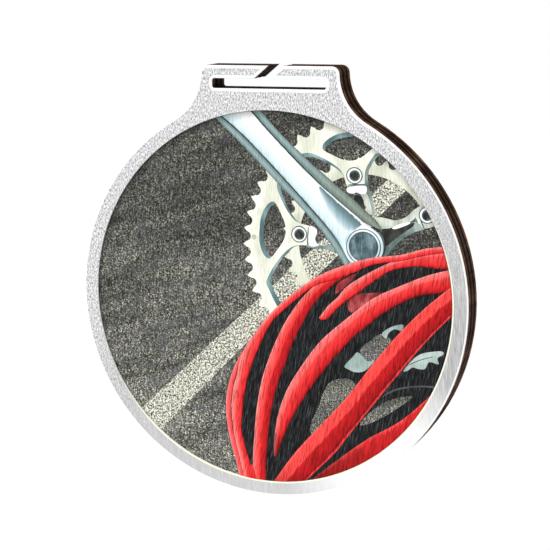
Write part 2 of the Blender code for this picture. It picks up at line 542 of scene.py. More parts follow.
def board_layer(front, name, node, slot_name, profile, wall_look, back_look=None):
    """One layer of the board, swept round the CAD outline from the layer before it, at front.

    The profile is a list of (share of the thickness, inset in mm) from front to back.
    """
    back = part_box(node)[1].y
    loop = front_loops(node)[0]
    mesh = bmesh.new()
    rings = []
    for share, depth in profile:
        y = front + (back - front) * share
        rings.append(ring_of(mesh, inset(loop, depth * MM), y))
    for ring, following in zip(rings, rings[1:]):
        wall_between(mesh, ring, following)
    cap(mesh, [rings[0]])
    cap(mesh, [rings[-1]], 1 if back_look else 0)
    looks = [wall_look, back_look] if back_look else [wall_look]
    piece = piece_from(mesh, name, looks)
    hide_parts(node)
    return back


def board():
    ply = scorched_look("scorched_ply", [(40, 20, 12), (80, 47, 28), (108, 72, 47), (134, 98, 70)])
    core = scorched_look("scorched_core", [(30, 17, 11), (54, 35, 24), (72, 50, 36), (94, 70, 53)])
    band = scorched_look("charred_crossband", [(2, 1, 1), (7, 4, 3), (16, 10, 6), (30, 19, 12)], 0.05)
    glue = scorched_look("charred_glue", [(6, 3, 2), (12, 7, 4), (20, 12, 8)], 0.02)
    round_profile = [(0.0, 0.03), (0.08, 0.01), (0.25, 0.0), (0.75, 0.0), (0.92, 0.01), (1.0, 0.03)]
    hollow_profile = [(0.0, 0.03), (0.15, 0.05), (0.5, 0.06), (0.85, 0.05), (1.0, 0.03)]
    straight_profile = [(0.0, 0.02), (1.0, 0.02)]
    back_profile = round_profile[:4] + [(0.94, 0.01), (1.0, 0.05)]
    glue_kind = ("glue_line", straight_profile, glue)
    band_kind = ("crossband_veneer", hollow_profile, band)
    layers = [
        ("front_ply", "front_face_veneer", "front_face_veneer", round_profile, ply),
        ("front_glue_outer", "front_outer_glue_line", *glue_kind),
        ("front_crossband", "front_crossband_veneer", *band_kind),
        ("front_glue_inner", "front_inner_glue_line", *glue_kind),
        ("core_ply", "core_veneer", "core_veneer", round_profile, core),
        ("back_glue_inner", "back_inner_glue_line", *glue_kind),
        ("back_crossband", "back_crossband_veneer", *band_kind),
        ("back_glue_outer", "back_outer_glue_line", *glue_kind),
        ("back_ply", "back_face_veneer", "back_face_veneer", back_profile, ply, birch_look()),
    ]
    reached = BORDER_HIGH.y
    for layer in layers:
        reached = board_layer(reached, *layer)


# -------- silver border

def outer_bevel_width(point):
    """The white bevel is narrower down the disc's right side than on the tab and the left."""
    down = min(1.0, max(0.0, (-6 * MM - point.y) / (8 * MM)))
    right = min(1.0, max(0.0, (point.x - 14 * MM) / (8 * MM)))
    return OUTER_BEVEL_WIDTH + (OUTER_BEVEL_NARROW - OUTER_BEVEL_WIDTH) * down * right


def inner_bevel_width(point):
    """The cream bevel is widest at the window's lower right, and fades out towards the upper left."""
    down_right = 0.5 * (point.x - CENTRE_X) - 0.85 * (point.y - CENTRE_Z)
    share = min(1.0, max(0.0, (down_right + 2 * MM) / (14 * MM)))
    return INNER_BEVEL_NARROW + (INNER_BEVEL_WIDTH - INNER_BEVEL_NARROW) * share


def border():
    """The silver layer: flat on top, with a rounded white bevel outside and a cream one inside; the white
    and the cream are painted highlight.
    """
    flat, white, cream, charred = range(4)
    outline, window = front_loops("silver_border")
    window_radius = max(point.x for point in window) - CENTRE_X
    mesh = bmesh.new()
    outer = [ring_of(mesh, outline, BORDER_HIGH.y)]
    inner = [ring_of(mesh, circle(window_radius), BORDER_HIGH.y)]
    for i in range(BEVEL_STEPS + 1):
        turn = math.pi / 2 * i / BEVEL_STEPS
        across = 1.0 - math.cos(turn)
        up = math.sin(turn)
        y = FRONT + OUTER_BEVEL_HEIGHT * (1.0 - up)
        outer.append(ring_of(mesh, inset(outline, lambda point: outer_bevel_width(point) * across), y))
        y = FRONT + (PICTURE_FRONT - FRONT) * (1.0 - up)
        widened = inset(circle(window_radius), lambda point: -inner_bevel_width(point) * across)
        inner.append(ring_of(mesh, widened, y))
    for i, (ring, following) in enumerate(zip(outer, outer[1:])):
        wall_between(mesh, ring, following, white if i else charred)
    for ring, following in zip(inner, inner[1:]):
        wall_between(mesh, ring, following, cream)
    cap(mesh, [outer[-1], inner[-1]], flat)
    cap(mesh, [outer[0], inner[0]], charred)
    looks = [
        silver_look(),
        # The white and cream bevel colours are painted highlight; the cream bevel's grey towards the top is
        # painted shade
        bevel_look("white_bevel_painted_highlight", (253, 253, 253)),
        bevel_look("cream_bevel_painted_highlight_and_shade", (255, 250, 228), (214, 214, 214)),
        scorched_look("charred_rim", [(14, 8, 5), (30, 18, 11), (48, 31, 20)], 0.02),
    ]
    piece = piece_from(mesh, "silver_border_plate", looks)
    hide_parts("silver_border")
    return window_radius


# -------- picture: shapes in relief

def catmull(points, closed=False, steps=CURVE_STEPS):
    """A smooth line through given points."""
    points = [Vector(point) for point in points]
    count = len(points)
    line = []
    for i in range(count if closed else count - 1):
        p0 = points[i - 1] if closed or i else points[0]
        p1 = points[i]
        p2 = points[(i + 1) % count]
        p3 = points[(i + 2) % count] if closed or i + 2 < count else points[-1]
        for k in range(steps):
            t = k / steps
            line.append(0.5 * (2 * p1 + (p2 - p0) * t + (2 * p0 - 5 * p1 + 4 * p2 - p3) * t ** 2
                               + (3 * p1 - p0 - 3 * p2 + p3) * t ** 3))
    if not closed:
        line.append(points[-1])
    return line


def blob(points):
    """A closed, rounded shape through a few given points."""
    return [catmull(points, True, BLOB_STEPS)]


def resampled(line, count):
    """The same line with evenly spaced points."""
    lengths = [0.0]
    for a, b in zip(line, line[1:]):
        lengths.append(lengths[-1] + (b - a).length)
    even = []
    i = 0
    for k in range(count):
        target = lengths[-1] * k / (count - 1)
        while i < len(line) - 2 and lengths[i + 1] < target:
            i += 1
        step = lengths[i + 1] - lengths[i]
        even.append(line[i].lerp(line[i + 1], (target - lengths[i]) / step if step else 0.0))
    return even


def in_picture(point):
    """A picture point in millimetres as an (x, z) place on the medal."""
    return Vector((CENTRE_X + point[0] * MM, CENTRE_Z + point[1] * MM))


def relief_y(level):
    return PICTURE_FRONT - level * RELIEF_STEP


def round_solid(radius, first_y, second_y):
    """A flat round solid between two depths."""
    mesh = bmesh.new()
    first = ring_of(mesh, circle(radius), first_y)
    second = ring_of(mesh, circle(radius), second_y)
    wall_between(mesh, first, second)
    cap(mesh, [first])
    cap(mesh, [second])
    return mesh


def window_cutter(radius):
    """A solid as wide as the window, which cuts off the shapes that pass the window's edge."""
    mesh = round_solid(radius, FRONT - CUTTER_MARGIN, PICTURE_FRONT + CUTTER_MARGIN)
    bmesh.ops.recalc_face_normals(mesh, faces=mesh.faces)
    return mesh_object(CUTTER_NAME, mesh)


def clip_to_window(piece):
    """Cut away whatever passes the edge of the window."""
    clip = piece.modifiers.new("window", "BOOLEAN")
    clip.operation = "INTERSECT"
    clip.solver = "EXACT"
    clip.object = bpy.data.objects[CUTTER_NAME]
    bpy.context.view_layer.update()
    cut = bpy.data.meshes.new_from_object(piece.evaluated_get(bpy.context.evaluated_depsgraph_get()))
    piece.modifiers.clear()
    spare = piece.data
    piece.data = cut
    bpy.data.meshes.remove(spare)


def plates(name, shapes, level, material):
    """Flat shapes at one level, joined in one piece. A shape is a list of loops, holes last."""
    mesh = bmesh.new()
    for loops in shapes:
        placed = [[in_picture(point) for point in loop] for loop in loops]
        tops = [ring_of(mesh, loop, relief_y(level)) for loop in placed]
        roots = [ring_of(mesh, loop, PICTURE_FRONT + RELIEF_ROOT) for loop in placed]
        for top, root in zip(tops, roots):
            wall_between(mesh, top, root)
        cap(mesh, tops)
        cap(mesh, roots)
    clip_to_window(piece_from(mesh, "print_" + name, [material], PLATE_SHARP_ANGLE))


def strip(name, first, second, level, material, rows=48, columns=6):
    """A band between two given edges; across the band, v goes from 0 to 1."""
    mesh = bmesh.new()
    uv = mesh.loops.layers.uv.new("strip")
    edge_a = resampled(catmull(first), rows)
    edge_b = resampled(catmull(second), rows)
    grid, floor = [], []
    for i in range(rows):
        grid.append([])
        floor.append([])
        for j in range(columns + 1):
            v = j / columns
            place = in_picture(edge_a[i].lerp(edge_b[i], v))
            for side, y in ((grid, relief_y(level)), (floor, PICTURE_FRONT + RELIEF_ROOT)):
                side[-1].append((mesh.verts.new((place.x, y, place.y)), i / (rows - 1), v))

    def quad(*corners):
        face = mesh.faces.new([corner[0] for corner in corners])
        for loop, corner in zip(face.loops, corners):
            loop[uv].uv = (corner[1], corner[2])

    for i in range(rows - 1):
        for j in range(columns):
            quad(grid[i][j], grid[i + 1][j], grid[i + 1][j + 1], grid[i][j + 1])
            quad(floor[i][j], floor[i][j + 1], floor[i + 1][j + 1], floor[i + 1][j])
        quad(grid[i][0], floor[i][0], floor[i + 1][0], grid[i + 1][0])
        quad(grid[i][-1], grid[i + 1][-1], floor[i + 1][-1], floor[i][-1])
    for j in range(columns):
        quad(grid[0][j], grid[0][j + 1], floor[0][j + 1], floor[0][j])
        quad(grid[-1][j], floor[-1][j], floor[-1][j + 1], grid[-1][j + 1])
    clip_to_window(piece_from(mesh, "print_" + name, [material], STRIP_SHARP_ANGLE))


def ring_line(centre, radius, width, steps=48):
    """A thin ring as one shape: an outer loop and a hole."""
    return [round_loop(centre, radius + width / 2, steps), round_loop(centre, radius - width / 2, steps)]


def disc_shape(centre, radius, steps=40):
    return [round_loop(centre, radius, steps)]


def line_shape(points, width):
    """A pen line of even width that tapers at both ends, as one closed loop."""
    line = catmull(points)
    left, right = [], []
    for i, point in enumerate(line):
        ahead = line[min(i + 1, len(line) - 1)] - line[max(i - 1, 0)]
        side = Vector((-ahead.y, ahead.x)).normalized()
        half = width / 2 * min(1.0, 0.25 + 4.0 * min(i, len(line) - 1 - i) / len(line))
        left.append(point + side * half)
        right.append(point - side * half)
    return [left + right[::-1]]


def polar(centre, radius, degrees):
    angle = math.radians(degrees)
    return (centre[0] + radius * math.cos(angle), centre[1] + radius * math.sin(angle))


# -------- picture: chainset

# The small chainring, the spider and the bolts lie round the axle; the big ring is printed a
# little off it. Lengths in millimetres, angles in degrees.
AXLE = (18.3, 11.0)
BOLT_ANGLES = (174.5, 98.6, 26.0, -42.0, -110.0)
BOLT_CENTRES = ((5.9, 12.2), (16.4, 23.2), (29.8, 16.6))
BIG_RING_CENTRE = (19.7, 10.0)
TOOTH_TIP = 0.45
BITE_STEPS = 8
TAB_RADIUS = 10.8
TAB_TURN = 8.4
TAB_FOOT_TURN = 28.5
FAR_SHARE = 0.958


def toothed(centre, radius, first_bite, count, bite_radius, shown=None):
    """A chainring's outer edge, or its first few teeth: round bites between pointed teeth."""
    loop = []
    for k in range(shown or count):
        middle = first_bite + 360.0 * k / count
        bite = Vector(polar(centre, radius, middle))
        outward = (bite - Vector(centre)).normalized()
        sideways = Vector((-outward.y, outward.x))
        for i in range(BITE_STEPS + 1):
            turn = math.radians(-170.0 + 160.0 * i / BITE_STEPS)
            loop.append(bite + bite_radius * (math.cos(turn) * sideways + math.sin(turn) * outward))
        loop.append(Vector(polar(centre, radius + TOOTH_TIP, middle + 180.0 / count)))
    return loop


def ring_window(bolt_angle):
    """The rounded opening outside each bolt, in (radius, sideways) steps from the bolt's line."""
    half = [(20.15, 0), (20, 2.3), (19.15, 4.4), (18, 5.3), (17.2, 4.7), (16.3, 3.3), (15.4, 1.7),
            (15.05, 0)]
    around = half + [(radius, -side) for radius, side in reversed(half[1:-1])]
    outward = Vector(polar((0, 0), 1.0, bolt_angle))
    sideways = Vector((-outward.y, outward.x))
    points = [Vector(AXLE) + outward * radius + sideways * side for radius, side in around]
    return catmull(points, True, BLOB_STEPS)


def on_rim(radius, angle):
    """A place on the big chainring's rim, in the direction that this angle has from the axle."""
    outward = Vector(polar(AXLE, 20.0, angle)) - Vector(BIG_RING_CENTRE)
    return Vector(BIG_RING_CENTRE) + outward.normalized() * radius


def ring_inside(rim_radius):
    """The inner edge of the big chainring: tabs that reach in to the bolts, and gaps between."""
    tab_side = [(11.1, 9.4), (12.7, 9.2), (13.9, 10.4), (15.2, 13.6), (16.6, 17.4), (17.9, 21), (19.1, 24.4)]
    points = []
    for i, angle in enumerate(BOLT_ANGLES):
        following = BOLT_ANGLES[(i + 1) % len(BOLT_ANGLES)]
        following -= 360.0 if following > angle else 0.0
        points.append(polar(AXLE, TAB_RADIUS, angle + TAB_TURN))
        points.append(polar(AXLE, TAB_RADIUS - 0.05, angle))
        points.append(polar(AXLE, TAB_RADIUS, angle - TAB_TURN))
        points += [polar(AXLE, radius, angle - turn) for radius, turn in tab_side]
        start = angle - TAB_FOOT_TURN
        end = following + TAB_FOOT_TURN
        points += [on_rim(rim_radius, start + (end - start) * k / 4) for k in range(5)]
        points += [polar(AXLE, radius, following + turn) for radius, turn in reversed(tab_side)]
    return catmull(points, True, BLOB_STEPS)


def far_side(loop):
    """The far edge of an opening in the chainring: drawn a little nearer to the axle."""
    return [Vector(AXLE) + (Vector(point) - Vector(AXLE)) * FAR_SHARE for point in loop]


def small_chainring():
    outside = toothed(AXLE, radius=15.15, first_bite=30.9, count=37, bite_radius=0.82, shown=24)
    inside = [Vector(polar(AXLE, 12.5, 258.0 - 5.0 * i)) for i in range(47)]
    look = ink("small_ivory", [(206, 208, 188), (228, 230, 212), (240, 241, 228)], 260.0, 0.15)
    plates("small_chainring", [[outside + inside]], SMALL_RING_LEVEL, look)


def big_chainring():
    ivory = ink("ivory", [(224, 227, 208), (242, 243, 228), (252, 252, 244)], 260.0, 0.13)
    teal = ink("teal", [(84, 112, 116), (120, 148, 152), (152, 178, 182)], 300.0, 0.15)
    pin = ink("pin", [(186, 186, 168), (204, 204, 188)], 500.0)
    outside = toothed(BIG_RING_CENTRE, radius=24.15, first_bite=183.46, count=52, bite_radius=0.92)
    openings = [ring_inside(rim_radius=21.4)] + [ring_window(angle) for angle in BOLT_ANGLES]
    far_openings = [far_side(opening) for opening in openings]
    plates("chainring_edge", [[outside] + far_openings], RING_EDGE_LEVEL, teal)
    plates("big_chainring", [[outside] + openings], BIG_RING_LEVEL, ivory)
    plates("chainring_pin", [disc_shape((-2.85, 11.3), 0.5)], ARM_LEVEL, pin)


def spider(shadow, bright):
    """The arms from the axle to the bolts: dark undersides, pale faces, shaded hollows and glints."""
    metal = ink("metal", [(96, 112, 110), (128, 146, 142), (164, 180, 174)], 420.0, 0.18, 0.1)
    pale = ink("pale", [(172, 180, 168), (198, 204, 192), (222, 226, 214)], 420.0, 0.16, 0.1)
    plates("spider_arms", [
        blob([(7.5, 10.35), (9.6, 10.3), (11.6, 10.5), (13.5, 11.5), (14.6, 8.2), (12.8, 9.2), (10.4, 9.7),
              (7.6, 9.85)]),
        blob([(20.3, 27.2), (19.2, 25.7), (18.45, 24.2), (18.3, 22.4), (18.5, 21.2), (18.9, 19.8),
              (19.6, 17), (20.2, 16.6), (19.7, 19.4), (19, 21.6), (18.95, 23.6), (19.6, 25.3),
              (20.7, 26.9)]),
        blob([(22.4, 13.6), (24.6, 13.9), (27, 15.2), (28, 15.2), (29.4, 14.2), (27.6, 13.5), (25.4, 12.2),
              (23.5, 10.4), (22.4, 9), (21, 9.6), (21, 13.4)]),
    ], ARM_LEVEL, metal)
    plates("spider_faces", [
        blob([(20.6, 15.8), (22.5, 15.7), (24, 15.45), (25.9, 16.1), (27.3, 17.3), (28.7, 18.2),
              (30.4, 18.7), (32.2, 17.6), (31.6, 15.2), (30, 14.3), (28.8, 14.5), (28, 16.2), (26.8, 15.3),
              (24.6, 14.5), (22.4, 13.9), (20.4, 13.9)]),
        blob([(17.4, 20.4), (18.6, 20.2), (19.3, 18.4), (19.8, 16.4), (18.9, 16.6), (18.2, 18.6)]),
    ], ARM_FACE_LEVEL, pale)
    plates("spider_shade", [
        blob([(21.6, 13.8), (23.4, 13.8), (25, 14.3), (27.3, 15.2), (27.2, 14.5), (25.4, 13.2), (23.6, 11.8),
              (22.3, 10.8), (21.8, 12.2)]),
        blob([(16.6, 19.7), (17.6, 19.5), (18.1, 18.5), (18.3, 17.3), (17.2, 17.9), (16.3, 18.9)]),
        line_shape([(7.65, 13.6), (7.55, 12), (7.45, 10.3)], 0.16),
        line_shape([(28.5, 16.9), (28.7, 15.6), (29.3, 14.2)], 0.2),
        line_shape([(15, 21.45), (16.6, 21.6), (18.2, 21.6)], 0.14),
    ], ARM_SHADE_LEVEL, shadow)
    plates("spider_glints", [
        blob([(7.85, 13.5), (8.6, 13.65), (9.25, 13.2), (9.3, 12.5), (8.95, 11.6), (9.2, 10.8), (9.7, 10.3),
              (7.75, 10.25)]),
        blob([(15, 20.9), (16.3, 21.3), (18.5, 21.4), (18.6, 20.2), (17.7, 19.9), (16.8, 20.2),
              (16.1, 19.95), (15.1, 20.2)]),
        blob([(23.4, 14.05), (24.6, 14.75), (26.5, 15.25), (26.6, 14.95), (25.2, 14.3), (24, 13.9)]),
    ], ARM_GLINT_LEVEL, bright)


def bolts(shadow, bright):
    dark = ink("bolt", [(58, 70, 72), (84, 98, 100), (108, 124, 126)], 900.0, 0.2)
    rims = [ring_line(centre, radius=1.42, width=0.18) for centre in BOLT_CENTRES]
    washers = [disc_shape(centre, radius=1.33) for centre in BOLT_CENTRES]
    heads = [disc_shape((x + 0.05, z - 0.02), radius=1.0) for x, z in BOLT_CENTRES]
    sockets = [disc_shape((x - 0.02, z - 0.06), radius=0.7) for x, z in BOLT_CENTRES]
    plates("bolt_rims", rims, BOLT_WASHER_LEVEL, dark)
    plates("bolt_washers", washers, BOLT_WASHER_LEVEL, bright)
    plates("bolt_heads", heads, BOLT_HEAD_LEVEL, dark)
    plates("bolt_sockets", sockets, BOLT_SOCKET_LEVEL, shadow)


# -------- picture: crank

CRANK_LOWER = [
    (-12, 36.5), (-9, 33.4), (-4.87, 30), (0, 25.35), (5, 20.3), (10, 15.1), (12.6, 12.1), (14.3, 9.6),
    (16, 6.6),
]
CRANK_UPPER = [
    (-5.5, 36.6), (-3, 34.2), (0, 31), (5, 26), (10, 21.3), (13, 18.75), (16, 16.4), (18, 14.95),
    (19.6, 14.2),
]
BOSS_CENTRE = (18.1, 10.45)
BOSS_STEPS = 64


def crank_sides():
    shades = [
        (0.0, (52, 68, 70)), (0.15, (112, 136, 137)), (0.55, (154, 178, 178)), (0.9, (128, 152, 152)),
        (1.0, (78, 92, 92)),
    ]
    left_edge = [
        (-13, 35.6), (-9.6, 32.4), (-5, 28.2), (0, 23.2), (5, 18.4), (9.6, 13.6), (12, 10.6), (13.4, 8.6),
        (15, 5.9),
    ]
    right_edge = [
        (-3.6, 36.9), (-1.2, 34.4), (2.3, 30.6), (7.6, 25.8), (12.6, 21.7), (16, 19.2), (18.5, 16.9),
        (20.5, 15.2), (21.6, 13.6),
    ]
    left = across_look("crank_left", shades, 0.2)
    strip("crank_left_side", CRANK_LOWER, left_edge, CRANK_SIDE_LEVEL, left)
    right = across_look("crank_right", shades, 0.2, end_tint=(240, 224, 206))
    strip("crank_right_side", CRANK_UPPER, right_edge, CRANK_SIDE_LEVEL, right)


def crank_body():
    look = across_look("crank_body", [
        (0.0, (150, 176, 182)), (0.07, (206, 228, 234)), (0.2, (222, 240, 246)), (0.45, (238, 250, 253)),
        (0.65, (254, 254, 254)), (0.93, (254, 254, 254)), (1.0, (196, 212, 214)),
    ], 0.12, 0.2, 0.06)
    strip("crank_body", CRANK_LOWER, CRANK_UPPER, CRANK_BODY_LEVEL, look, 56)


def crank_groove():
    look = across_look("groove", [
        (0.0, (214, 228, 230)), (0.06, (92, 116, 122)), (0.35, (118, 144, 152)), (0.7, (170, 194, 202)),
        (1.0, (228, 242, 247)),
    ], 0.14, 0.3, 0.06)
    upper = [(9.9, 21.15), (12.6, 18.95), (15, 17), (16.9, 15.4), (17.9, 14.5)]
    lower = [(9.7, 20.6), (10.7, 18.3), (12.3, 15.6), (14.2, 13.6), (15.8, 13)]
    strip("crank_groove", upper, lower, GROOVE_LEVEL, look)


def crank_boss():
    """The crank's round end, with a rimmed socket that has notches round its wall."""
    boss = ink("boss", [(198, 218, 224), (226, 240, 244), (248, 252, 252)], 300.0, 0.12)
    shade = ink("ring_shade", [(62, 82, 88), (92, 114, 120)], 700.0, 0.2)
    socket = ink("socket", [(60, 82, 88), (92, 116, 122), (128, 152, 158)], 700.0, 0.3)
    plates("crank_boss", [disc_shape(BOSS_CENTRE, 3.7, BOSS_STEPS)], BOSS_LEVEL, boss)
    crank_groove()
    shade_ring = ring_line(BOSS_CENTRE, radius=3.18, width=0.16, steps=BOSS_STEPS)
    rim_ring = ring_line(BOSS_CENTRE, radius=2.94, width=0.26, steps=BOSS_STEPS)
    plates("socket_shade", [shade_ring], SOCKET_RING_LEVEL, shade)
    plates("socket_rim", [rim_ring], SOCKET_RING_LEVEL, boss)
    plates("socket_wall", [disc_shape(BOSS_CENTRE, 2.76, BOSS_STEPS)], SOCKET_RING_LEVEL, shade)
    plates("socket", [disc_shape(BOSS_CENTRE, 2.55, BOSS_STEPS)], SOCKET_LEVEL, socket)
    notches = []
    for k in range(8):
        turn = 45.0 * k + 12.0
        corners = [(2.62, turn - 8), (2.62, turn + 8), (2.32, turn + 4), (2.32, turn - 4)]
        notches.append([[polar(BOSS_CENTRE, radius, angle) for radius, angle in corners]])
    plates("socket_notches", notches, NOTCH_LEVEL, shade)


def crank_lines(shadow, bright):
    plates("crank_outlines", [
        line_shape(CRANK_LOWER[:8], 0.2),
        line_shape(CRANK_UPPER[:5], 0.2),
        line_shape([(19.4, 14.3), (20.9, 13.6), (21.9, 12.2), (22.1, 10.4), (21.6, 8.7)], 0.22),
    ], SOCKET_RING_LEVEL, shadow)
    plates("crank_glint", [
        line_shape([(10, 21.15), (13, 18.7), (16, 16.35), (17.9, 14.95)], 0.24),
    ], SOCKET_LEVEL, bright)


# -------- picture: helmet

HELMET_EDGE = [
    (-6, -36), (-7.06, -30.5), (-8.04, -27.2), (-8.75, -23.6), (-8.85, -20.5), (-8.33, -17),
    (-7.45, -14.4), (-6.3, -12), (-5, -9.6), (-3.1, -6.9), (-1.72, -4.9), (0, -2.95), (2.07, -1),
    (5, 1.55), (7.4, 3.36), (10, 5), (12.4, 6.15), (16, 7.5), (20, 8.6), (25, 9.3), (30, 10.75), (35, 11.2),
]


def helmet_inside_look():
    """The shaded inside of the helmet: near black, with cool streaks."""
    look = Look("print_helmet_inside")
    streaks = look.noise(look.scaled(4300, 1, 420, GRAIN_LEAN), 1.0, 2.0, 0.6, 0.3)
    colour = look.ramp(streaks, [
        (0.36, (8, 8, 9)), (0.49, (24, 25, 26)), (0.59, (46, 49, 50)), (0.72, (78, 84, 84)),
    ])
    return finish_print(look, colour, 0.3, GRAIN_LEAN, 0.6)


def helmet_shell():
    shell = catmull(HELMET_EDGE) + [Vector((37, -8)), Vector((28, -30)), Vector((6, -38))]
    plates("helmet_inside", [[shell]], HELMET_INSIDE_LEVEL, helmet_inside_look())


def seen_through_helmet():
    """What shows between the ribs: asphalt, parts of the chainset, red pads and thin straps."""
    plates("seen_asphalt", [
        blob([(12, -14.6), (15.4, -14), (16.5, -16), (12, -21), (8.2, -24.8), (8, -22.8), (9.4, -19.8),
              (10.4, -17)]),
        blob([(17.4, -8.5), (19.4, -6.6), (21.4, -5.3), (23.4, -6.6), (20.6, -10), (18.9, -10.4)]),
        blob([(17.4, -22.2), (19, -20.2), (21.4, -18.2), (24.2, -16.9), (27.2, -16.3), (26.4, -17.3),
              (23.6, -19.4), (20.6, -21.3), (18.4, -22.3)]),
    ], SEEN_LOW_LEVEL, asphalt_look("print_asphalt_seen_through"))
    metal = ink("seen_metal", [(138, 158, 152), (160, 180, 174), (186, 202, 196)], 300.0, 0.16)
    plates("seen_chainset", [
        blob([(14.5, -11.6), (16, -9.9), (17.1, -8.9), (18.8, -10.4), (20.2, -10.2), (18.4, -12.2),
              (16.6, -12.6), (15.3, -12.2)]),
        blob([(21.6, -5.1), (23.4, -3.8), (25.5, -3.3), (25.2, -4.4), (24, -4.2), (22.9, -4.9), (22.3, -6)]),
        blob([(25.6, -11.7), (27.1, -9.8), (28.7, -8.5), (30.6, -7.95), (32.7, -7.7), (32.9, -8.3),
              (31.9, -9), (32.1, -10.1), (30.4, -9.8), (29.6, -11.1), (28.4, -11.2), (27.3, -11),
              (26.3, -11.7)]),
    ], SEEN_HIGH_LEVEL, metal)
    pad_shades = [(104, 34, 38), (150, 52, 56), (190, 88, 90)]
    plates("helmet_pads", [
        blob([(12.8, 1.6), (13.1, 3.3), (14.6, 4.5), (16.7, 5.5), (16, 4.4), (14.4, 2.8)]),
        blob([(15.1, 0), (16.8, 1.7), (19.2, 2.1), (22.2, 2.3), (20, 1), (17.6, -0.9), (15.7, -1.6)]),
    ], SEEN_LOW_LEVEL, ink("pads", pad_shades, 500.0, GRAIN_DEEP, GRAIN_LEAN))
    plates("straps", [
        line_shape([(21.5, -16.9), (24, -15.4), (27, -14.6), (30.5, -14.3), (33, -14.6)], 0.3),
        line_shape([(26, -10.9), (28.6, -9.6), (31.4, -8.7)], 0.12),
    ], SEEN_HIGH_LEVEL, ink("strap", [(70, 74, 78), (92, 96, 100)], 500.0, 0.2))


def rib_look(name, stops, waviness=0.6, wander=0.06, dark_start=0.0, darkening=GRAIN_DEEP):
    """A rib's reds, from the lit edge (0) to the shaded edge (1), under deeply cut grain."""
    return across_look(name, stops, darkening, waviness, wander, GRAIN_LEAN, dark_start)


def left_ribs(rib):
    """The three ribs that run down the helmet's left side, and the fork where they meet."""
    edge_rib = rib_look("edge_rib", [
        (0.0, (244, 140, 140)), (0.35, (252, 104, 102)), (1.0, (238, 62, 62)),
    ], wander=0.09, darkening=0.30)
    strip(
        "outer_rib",
        [(-5.9, -36), (-6.9, -31.2), (-7.9, -27.6), (-8.55, -24.2), (-8.8, -20.8), (-8.4, -17.4),
         (-7.45, -14.3), (-6.3, -11.9), (-5.3, -10.1)],
        [(-5, -36), (-6.1, -31), (-7, -27.4), (-7.6, -24.2), (-7.8, -20.8), (-7.45, -17.6), (-6.7, -14.8),
         (-5.9, -12.1), (-5.25, -10.2)],
        SEEN_HIGH_LEVEL, edge_rib,
    )
    strip(
        "first_rib",
        [(-5, -36), (-6, -31), (-6.9, -27.4), (-7.45, -24.2), (-7.65, -20.8), (-7.3, -17.6), (-6.55, -14.9),
         (-5.85, -12), (-4.75, -9.3), (-3.1, -6.9), (0, -2.95), (5, 1.55), (10, 5), (16, 7.5), (20, 8.6),
         (25, 9.3), (30, 10.75), (35, 11.2)],
        [(-3.4, -36), (-4, -31.4), (-4.95, -28.3), (-5.6, -25.2), (-5.55, -22.4), (-5.25, -19.8),
         (-4.8, -17.3), (-4.2, -14.9), (-3.4, -12.4), (-2.4, -9.9), (-1.2, -7.4), (1.03, -3.7), (5.5, 0.3),
         (9, 2.9), (15, 5.1), (20, 7.3), (25, 8.2), (30, 9.5), (35, 10.3)],
        FIRST_RIB_LEVEL, rib, LONG_ROWS,
    )
    split_rib = rib_look("split_rib", [
        (0.0, (250, 156, 154)), (0.07, (255, 118, 114)), (0.24, (255, 90, 86)), (0.46, (252, 60, 60)),
        (0.58, (210, 30, 34)), (0.90, (180, 20, 26)), (1.0, (90, 12, 16)),
    ])
    strip(
        "second_rib",
        [(13.5, 5.9), (11.2, 4.7), (8.8, 2.9), (6.5, 0.6), (5, -1.3), (3.45, -3.6), (2.07, -6.1),
         (0.86, -8.7), (-0.2, -11.3), (-1.57, -15.4), (-2.65, -20.9), (-3.2, -26.6), (-3.5, -31.3),
         (-3.3, -36)],
        [(16.2, 5.7), (13.2, 3.9), (11.55, 2.5), (10, 0.95), (8.3, -1.1), (6.9, -3.5), (5.5, -6.1),
         (4.3, -8.7), (3.1, -12), (1.76, -15.4), (0.4, -20.5), (-0.4, -25.6), (-0.8, -30.5), (-0.9, -36)],
        LOW_RIB_LEVEL, split_rib, LONG_ROWS,
    )


def middle_ribs(rib):
    """The short third rib and the long fourth one."""
    strip(
        "third_rib",
        [(9.7, -2.9), (10.6, -1.7), (11.55, -0.5), (13.3, 1.1), (15, 3.1), (18.8, 5.6), (23.1, 7.85),
         (27.4, 9.5), (31, 10.7), (36, 11.2)],
        [(9.9, -3.3), (11.2, -3.1), (12.4, -1.9), (14.1, -0.2), (16.6, 1.6), (18.8, 3.3), (23.1, 6.3),
         (27.4, 7.3), (31, 7.2), (36, 6.9)],
        MIDDLE_RIB_LEVEL, rib, 80,
    )
    faded_rib = rib_look("faded_rib", [
        (0.0, (250, 156, 154)), (0.05, (255, 122, 118)), (0.28, (255, 102, 98)), (0.36, (250, 64, 64)),
        (0.74, (222, 36, 40)), (0.90, (176, 22, 28)), (1.0, (74, 8, 12)),
    ], dark_start=0.12)
    strip(
        "fourth_rib",
        [(0.75, -29.7), (0.7, -27.5), (1.08, -24.2), (1.57, -21.7), (3.3, -17), (6.2, -12.2), (10, -7.2),
         (15, -2.75), (20, 1.2), (25, 3.7), (30, 5.85), (36, 7.6)],
        [(1.3, -29.7), (2, -27.5), (3.4, -24.2), (4.9, -21.2), (7.6, -16.8), (10.8, -12.5), (15, -7.5),
         (17.5, -5.1), (22, -1.4), (27.4, 1.7), (31.2, 2.6), (36, 3.4)],
        MIDDLE_RIB_LEVEL, faded_rib, LONG_ROWS,
    )


